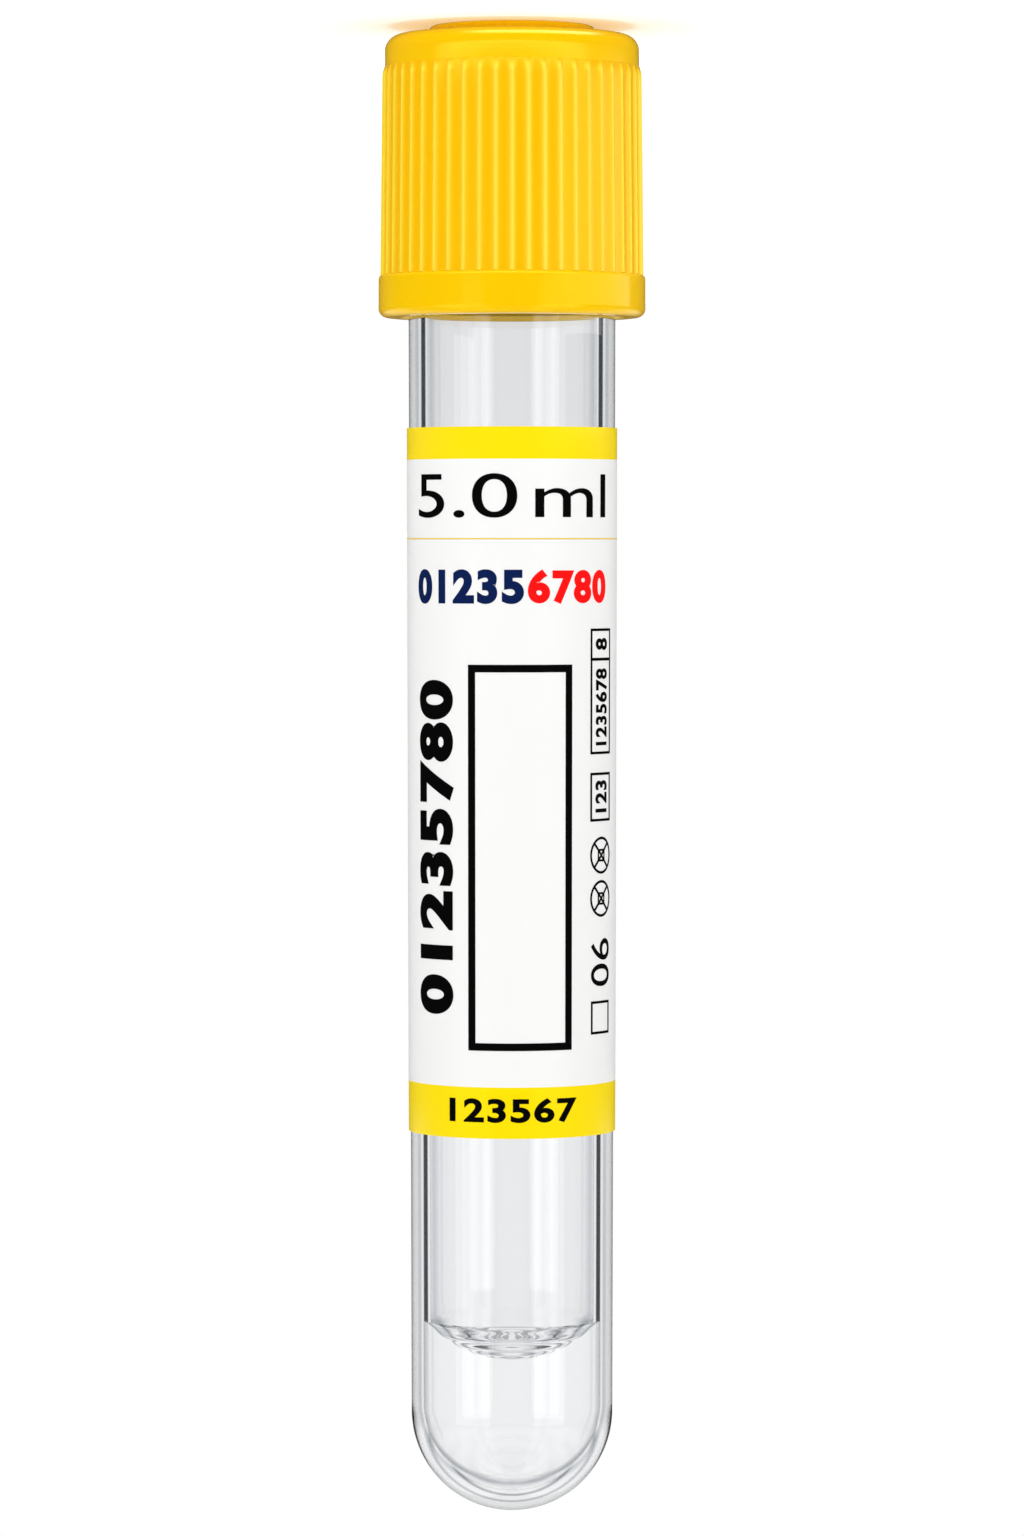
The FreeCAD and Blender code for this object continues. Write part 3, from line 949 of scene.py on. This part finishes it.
class SAMPLETUBE_OT_cap(bpy.types.Operator):
    """Model the ribbed cap: one rib's sector is turned and shaped, then copied round the axis"""
    bl_idname = "sampletube.cap"
    bl_label = "Ribbed cap"

    def execute(self, context):
        tube = context.scene.tube_sizes
        cap = context.scene.cap_sizes
        stopper = context.scene.stopper_sizes
        colours = context.scene.finish_colours
        level = cap_levels(tube, cap)
        skirt = level["skirt"]
        collar = skirt + cap.collar_wall
        flange = skirt + cap.flange_wall
        ring = cap.well_radius + cap.ring_wall
        bead = tube.mouth_radius + cap.bead_clearance
        bead_top = tube.length + stopper.seat_gap
        bead_slope = skirt - bead
        fillet = 0.1 * MM

        def flute(height):
            return collar + cap.rib_proud + (level["rib_top"] - height) * math.tan(cap.rib_draft)

        points = round_corner((flange - cap.flange_lower_round, level["start"] + cap.flange_lower_round),
                              cap.flange_lower_round, -90, 0, 8)
        points += round_corner((flange - cap.flange_upper_round,
                                level["rib_start"] - cap.flange_upper_round),
                               cap.flange_upper_round, 0, 90, 5)
        points.append((flute(level["rib_start"]), level["rib_start"]))
        rib_rows = {}
        end_low = level["rib_top"] - cap.rib_end
        for share in RIB_ROWS:
            height = level["rib_start"] + (end_low - level["rib_start"]) * share
            points.append((flute(height), height))
        for share in reversed(RIB_END_ROWS):
            height = level["rib_top"] - cap.rib_end * share
            points.append((flute(height), height))
            rib_rows[round(height, 7)] = 1 - (1 - share) ** 2
        points.append((collar, level["rib_top"] + cap.rib_proud))
        points += round_corner((collar - cap.shoulder_round, level["shoulder"] - cap.shoulder_round),
                               cap.shoulder_round, 0, 90, 12)
        points += round_corner((ring + fillet, level["shoulder"] + fillet), fillet, 270, 180, 4)
        points += round_corner((ring - cap.ring_round, level["top"] - cap.ring_round),
                               cap.ring_round, 0, 90, 6)
        points += round_corner((cap.well_radius + cap.well_round, level["top"] - cap.well_round),
                               cap.well_round, 90, 180, 6)
        points += [
            (cap.well_radius, level["web_underside"]),
            (skirt, level["web_underside"]),
            (skirt, bead_top),
            (bead, bead_top - bead_slope),
            (bead, bead_top - cap.bead_height + bead_slope),
            (skirt, bead_top - cap.bead_height),
            (skirt, level["start"] + cap.lead),
            (skirt + cap.lead, level["start"]),
        ]
        points.append(points[0])

        pitch = 360 / cap.rib_count
        piece = draw_profile("cap_shell", brace(points))
        turn_profile(RIB_COLUMNS, pitch)
        self.raise_ribs(piece, cap, level, flute, rib_rows, pitch)
        turn_profile(cap.rib_count, 360, copies=True)
        object_mode()
        piece.rotation_euler = (0, 0, -math.pi / 2)     # one crest faces the front
        apply_place(piece)
        close_shell(piece)
        smooth(piece)
        slope = math.tan(cap.rib_draft)
        for face in piece.data.polygons:
            reach = math.hypot(face.center.x, face.center.y)
            on_band = level["rib_start"] + 0.01 * MM < face.center.z < level["rib_top"] + cap.rib_proud
            face.material_index = 1 if on_band and reach > collar else 0
        # The ribbed band's material paints a highlight on the crests and shade in the flutes, by radius from
        # the axis.
        floor = flute(REST_TOP)
        finish_piece(piece, "closure",
                     [moulded_polyethylene(colours),
                      moulded_polyethylene(colours, (floor, slope, cap.rib_height))], ["cap"])
        return {"FINISHED"}

    def raise_ribs(self, piece, cap, level, flute, rib_rows, pitch):
        """Scales each column of the ribbed band away from the axis by the rib's section."""
        half = RIB_COLUMNS // 2
        bottom = level["rib_start"] - ON_ROW / 2
        end_low = level["rib_top"] - cap.rib_end - ON_ROW / 2

        def column(place):
            turn = math.degrees(math.atan2(place.y, place.x)) % 360 % pitch
            number = round(turn / pitch * RIB_COLUMNS) % RIB_COLUMNS
            return min(number, RIB_COLUMNS - number)

        def on_band(place):
            return abs(math.hypot(place.x, place.y) - flute(place.z)) < ON_BAND

        rows = [(None, 1.0)] + list(rib_rows.items())
        for row, share in rows:
            for number in range(half):
                rise = cap.rib_height * RIB_SECTION[number] * share
                if rise < 1e-9:
                    continue

                def wanted(place):
                    if column(place) != number or not on_band(place):
                        return False
                    if row is None:
                        return bottom < place.z < end_low
                    return abs(place.z - row) < ON_ROW

                select_vertices(piece, wanted)
                scale = 1 + rise / flute(row if row is not None else level["rib_start"])
                bpy.ops.transform.resize(value=(scale, scale, 1), center_override=(0, 0, 0))


class SAMPLETUBE_OT_stopper(bpy.types.Operator):
    """Model the rubber stopper: a head held in the cap over a plug with a hollow underside"""
    bl_idname = "sampletube.stopper"
    bl_label = "Rubber stopper"

    def execute(self, context):
        tube = context.scene.tube_sizes
        cap = context.scene.cap_sizes
        stopper = context.scene.stopper_sizes
        colours = context.scene.finish_colours
        level = cap_levels(tube, cap)
        head_low = tube.length + stopper.seat_gap
        plug_end = head_low - stopper.plug_length
        plug = bore_radius(tube, plug_end) - stopper.plug_clearance
        recess = plug - stopper.plug_wall
        recess_top = level["web_underside"] - stopper.dish_depth - stopper.diaphragm
        dish = cap.well_radius - stopper.dish_ledge
        lead = stopper.plug_lead
        lip = 0.2 * MM              # radius of the hollow's edge
        squeeze = 0.01 * MM         # how far the head stands clear of the cap's inside
        points = [(0.0, recess_top)]
        points += round_corner((recess - lead, recess_top - lead), lead, 90, 0, 6)
        points.append((recess, plug_end + lip))
        points += round_corner((recess + lip, plug_end + lip), lip, 180, 270, 3)
        points += round_corner((plug - lead, plug_end + lead), lead, -90, 0, 6)
        points += [
            (plug, head_low),
            (level["skirt"] - squeeze, head_low),
            (level["skirt"] - squeeze, level["web_underside"] - squeeze),
            (dish, level["web_underside"] - squeeze),
            (dish - stopper.dish_depth, level["web_underside"] - stopper.dish_depth),
            (0.0, level["web_underside"] - stopper.dish_depth),
        ]
        piece = lathe("stopper_rubber", points, 128)
        smooth(piece)
        finish_piece(piece, "closure", [butyl_rubber(colours)], ["rubber_stopper"])
        return {"FINISHED"}


# ---- stage --------------------------------------------------------------------------------------
# Softboxes: name, turn in degrees from the camera's side towards the view's right, width and height
# in metres, and brightness, where 1 is white.
SOFTBOXES = (
    ("softbox_left", -46, 0.230, 0.150, 0.82),
    ("softbox_right", 43, 0.195, 0.150, 0.9),
)
OVERHEAD_SIDE = 0.24            # metres
WATTS_FOR_WHITE = 4             # a square metre of area lamp
# Cards close beside the cap, seen only in its gloss: name, side (1 is +X) and brightness.
CARDS = (
    ("dark_card", 1, 0.0),
    ("white_card", -1, 1.2),
)
CARD_SIZE = (18 * MM, 52 * MM)  # height and depth
CARD_AHEAD = 14 * MM            # middle of a card, in front of the tube's axis
CARD_LEVEL = 9.5 * MM           # and over the floor

# What clear plastic shows of the surroundings.  White panels stand all round, from the middle of one
# to the dark corner between two.
PANEL_STOPS = ((0.0, "#FAFBFB"), (0.4, "#F9FAFA"), (0.66, "#F1F2F3"), (0.74, "#D6D9DC"),
               (0.88, "#C9CDD1"), (0.93, "#F8F9F9"), (0.975, "#F8F9F9"), (0.99, "#22272E"),
               (1.0, "#22272E"))
# From straight below to straight above: darker under the horizon, with grey rings overhead.
HEIGHT_STOPS = ((0.0, "#D8DADC"), (0.485, "#F3F4F4"), (0.54, "#FFFFFF"), (0.66, "#FFFFFF"),
                (0.7, "#A4A9AF"), (0.74, "#FFFFFF"), (0.8, "#FFFFFF"), (0.83, "#8F959B"),
                (0.86, "#FFFFFF"), (0.9, "#FFFFFF"), (0.93, "#A4A9AF"), (0.96, "#FFFFFF"))
# On the floor, from the middle out to FLOOR_STOPS_REACH.
FLOOR_STOPS = ((0.0, "#F0F1F2"), (0.1, "#FFFFFF"), (0.14, "#8A9096"), (0.18, "#FFFFFF"),
               (0.25, "#FFFFFF"), (0.3, "#9AA0A6"), (0.4, "#A9AEB4"), (0.44, "#FFFFFF"),
               (0.55, "#FAFAFA"), (0.65, "#D3D6D9"), (0.8, "#FAFAFA"), (1.0, "#F3F4F4"))
FLOOR_STOPS_REACH = 200 * MM
FAR_OFF = (60 * MM, 300 * MM)   # distances between which the floor's glow for the eye grows

# What gloss shows: a strip of floor, which is a circle in squeezed sizes, a short arc of floor close
# to the cap, and the world overhead, which is dimmer where the panels stand.
STRIP_SQUEEZE = (0.5, 3.0, 1.0)
STRIP_MIDDLE = (0.0, -66 * MM, 0.0)
STRIP_EDGE = (8 * MM, 36 * MM)
ARC_RADIUS = 7.9 * MM
ARC_EDGE = (0.05 * MM, 0.5 * MM)
ARC_MIDDLE = (-1.8 * MM, -7.7 * MM, 0.0)
ARC_ENDS = (2.5 * MM, 6.0 * MM)
CORNER_EDGE = (0.6, 0.85)
CORNER_DIM = 0.4
OVERHEAD_EDGE = (0.15, 0.3)


def ramp(tree, level, stops):
    """Greys by level, from pairs of a place from 0 to 1 and a colour."""
    node = add_node(tree, "ValToRGB", {0: level})
    elements = node.color_ramp.elements
    while len(elements) < len(stops):
        elements.new(0.5)
    for element, (place, grey) in zip(elements, stops):
        element.position = place
        element.color = rgba(linear(grey))
    return node.outputs["Color"]


def strip_ahead(tree, place, stage):
    """In reflections, a bright strip of floor lies across the front of the object."""
    squeezed = scaled(tree, place, STRIP_SQUEEZE)
    from_strip = distance(tree, squeezed, STRIP_MIDDLE)
    return fade(tree, from_strip, STRIP_EDGE, stage.floor_in_gloss, stage.in_gloss)


def arc_under_shoulder(tree, place, from_axis, stage):
    """In reflections, a short bright arc lies on the floor under the front of the cap's shoulder:
    its strengths across and along, to be multiplied."""
    off_arc = calculate(tree, "ABSOLUTE", calculate(tree, "SUBTRACT", from_axis, ARC_RADIUS))
    across = fade(tree, off_arc, ARC_EDGE, 1.0, 0.0)
    from_middle = distance(tree, place, ARC_MIDDLE)
    along = fade(tree, from_middle, ARC_ENDS, stage.shoulder_in_gloss, 0.0)
    return across, along


class SAMPLETUBE_OT_stage(bpy.types.Operator):
    """Set up the pale floor, the softboxes, the white surroundings and the camera"""
    bl_idname = "sampletube.stage"
    bl_label = "Stage"

    def execute(self, context):
        stage = context.scene.stage_settings
        self.lay_floor(context.scene.finish_colours, stage)
        self.set_world(context, stage)
        for name, turn, width, height, brightness in SOFTBOXES:
            self.hang_softbox(stage, name, math.radians(turn), width, height, brightness)
        self.hang_overhead(stage)
        for name, side, brightness in CARDS:
            self.stand_card(stage, name, side, brightness)
        self.place_camera(context, stage)
        context.scene.view_settings.view_transform = "Standard"
        return {"FINISHED"}

    def lay_floor(self, colours, stage):
        deselect_all()
        bpy.ops.mesh.primitive_circle_add(vertices=96, radius=stage.floor_radius, fill_type="NGON")
        floor = bpy.context.object
        floor.name = "floor"
        material, tree = new_material("Pale matt floor, lit from below")
        matt = add_node(tree, "BsdfDiffuse", {"Color": rgba(colours.floor),
                                              "Normal": relief(tree, grain(tree, 2.0 * MM), 0.002 * MM)})
        place = object_place(tree)
        from_axis = vector_length(tree, place)
        to_the_eye = fade(tree, from_axis, FAR_OFF, stage.floor_seen, stage.floor_seen_far)
        glow = emission(tree, pick_strength(tree, "Is Camera Ray", stage.floor_glow, to_the_eye))
        plain = add_node(tree, "AddShader", {0: matt.outputs[0], 1: glow}).outputs[0]
        across, along = arc_under_shoulder(tree, place, from_axis, stage)
        strip = strip_ahead(tree, place, stage)
        mirrored = emission(tree, calculate(tree, "MULTIPLY_ADD", across, along, strip))
        rings = share_of(tree, from_axis, 0.0, FLOOR_STOPS_REACH)
        refracted = emission(tree, 1.0, ramp(tree, rings, FLOOR_STOPS))
        shader = pick_shader(tree, "Is Glossy Ray", plain, mirrored)
        shader = pick_shader(tree, "Is Transmission Ray", shader, refracted)
        floor.data.materials.append(finish_material(material, shader))

    def set_world(self, context, stage):
        """White to the eye.  Through clear plastic it is four white panels with darker gaps at the
        corners between them, which draw the edges of clear things."""
        world = bpy.data.worlds.new("White panels with dark corners")
        world.use_nodes = True
        tree = world.node_tree
        tree.nodes.clear()
        way = add_node(tree, "SeparateXYZ", {0: add_node(tree, "TexCoord").outputs["Generated"]})
        rise = way.outputs["Z"]
        turn = calculate(tree, "ARCTAN2", way.outputs["Y"], way.outputs["X"])
        # 0 straight ahead, aside and behind; 1 half-way between them
        corner = calculate(tree, "ABSOLUTE", calculate(tree, "SINE", calculate(tree, "MULTIPLY", turn, 2.0)))
        overhead = fade(tree, corner, CORNER_EDGE, CORNER_DIM, 1.0)
        mirrored = fade(tree, rise, OVERHEAD_EDGE, stage.in_gloss, overhead)
        strength = pick_strength(tree, "Is Glossy Ray", stage.fill, mirrored)
        strength = pick_strength(tree, "Is Camera Ray", strength, 1.0)
        plain = add_node(tree, "Background", {"Color": (1, 1, 1, 1), "Strength": strength})
        height = share_of(tree, rise, -1.0, 1.0)
        panels = blend(tree, 1.0, ramp(tree, corner, PANEL_STOPS), ramp(tree, height, HEIGHT_STOPS),
                       "MULTIPLY")
        refracted = add_node(tree, "Background", {"Color": panels})
        add_node(tree, "OutputWorld", {"Surface": pick_shader(tree, "Is Transmission Ray",
                                                              plain.outputs[0], refracted.outputs[0])})
        context.scene.world = world

    def hang_softbox(self, stage, name, turn, width, height, brightness):
        bpy.ops.object.light_add(type="AREA")
        lamp = bpy.context.object
        lamp.name = name
        lamp.data.shape = "RECTANGLE"
        lamp.data.size = width
        lamp.data.size_y = height
        lamp.data.energy = brightness * WATTS_FOR_WHITE * width * height
        lamp.location = (-math.sin(turn) * stage.lamp_distance, -math.cos(turn) * stage.lamp_distance,
                         stage.lamp_height)
        lamp.rotation_euler = (math.pi / 2, 0, -turn)

    def hang_overhead(self, stage):
        bpy.ops.object.light_add(type="AREA", location=(0, 0, REST_TOP + stage.lamp_distance))
        lamp = bpy.context.object
        lamp.name = "softbox_overhead"
        lamp.visible_glossy = False
        lamp.visible_transmission = False
        lamp.data.size = OVERHEAD_SIDE
        lamp.data.energy = stage.overhead * WATTS_FOR_WHITE * OVERHEAD_SIDE ** 2

    def stand_card(self, stage, name, side, brightness):
        """A card that darkens or brightens one side of the cap and is seen only in gloss."""
        deselect_all()
        bpy.ops.mesh.primitive_plane_add(size=1.0, rotation=(0, math.pi / 2, 0),
                                         location=(side * stage.card_distance, -CARD_AHEAD, CARD_LEVEL))
        card = bpy.context.object
        card.name = name
        card.scale = CARD_SIZE + (1,)
        card.visible_camera = False
        card.visible_transmission = False
        card.visible_diffuse = False
        card.visible_shadow = False
        material, tree = new_material(name.replace("_", " ").capitalize())
        card.data.materials.append(finish_material(material, emission(tree, brightness)))

    def place_camera(self, context, stage):
        """Looks along +Y and is turned over, so that the cap is at the top of its view."""
        bpy.ops.object.camera_add()
        camera = bpy.context.object
        camera.name = "camera"
        pitch = math.atan2(stage.aim_height - stage.eye_height, stage.distance)
        camera.location = (0, -stage.distance, stage.eye_height)
        camera.rotation_euler = (-(math.pi / 2 + pitch), 0, math.pi)
        camera.data.lens = stage.lens
        camera.data.sensor_width = 36
        camera.data.clip_start = 10 * MM
        camera.data.clip_end = 20
        context.scene.camera = camera


class SAMPLETUBE_PT_panel(bpy.types.Panel):
    """Lists the pieces in the 3D view's sidebar"""
    bl_idname = "SAMPLETUBE_PT_panel"
    bl_label = "Sample tube"
    bl_space_type = "VIEW_3D"
    bl_region_type = "UI"
    bl_category = "Sample tube"

    def draw(self, context):
        for operator in OPERATORS:
            self.layout.operator(operator.bl_idname, text=operator.bl_label)
        for group in GROUPS:
            box = self.layout.box()
            settings = getattr(context.scene, group)
            for name in GROUPS[group].__annotations__:
                box.prop(settings, name)


GROUPS = {
    "tube_sizes": TubeSizes,
    "label_sizes": LabelSizes,
    "cap_sizes": CapSizes,
    "stopper_sizes": StopperSizes,
    "finish_colours": FinishColours,
    "stage_settings": StageSettings,
}
OPERATORS = (SAMPLETUBE_OT_tube, SAMPLETUBE_OT_gel, SAMPLETUBE_OT_label, SAMPLETUBE_OT_print,
             SAMPLETUBE_OT_cap, SAMPLETUBE_OT_stopper, SAMPLETUBE_OT_stage)


def register():
    for kind in list(GROUPS.values()) + list(OPERATORS) + [SAMPLETUBE_PT_panel]:
        bpy.utils.register_class(kind)
    for name, kind in GROUPS.items():
        setattr(bpy.types.Scene, name, PointerProperty(type=kind))


def unregister():
    for name in GROUPS:
        delattr(bpy.types.Scene, name)
    for kind in [SAMPLETUBE_PT_panel] + list(OPERATORS) + list(GROUPS.values()):
        bpy.utils.unregister_class(kind)


def main():
    register()
    bpy.ops.sampletube.tube()
    bpy.ops.sampletube.gel()
    bpy.ops.sampletube.label()
    bpy.ops.sampletube.print()
    bpy.ops.sampletube.cap()
    bpy.ops.sampletube.stopper()
    bpy.ops.sampletube.stage()


if __name__ == "__main__":
    main()
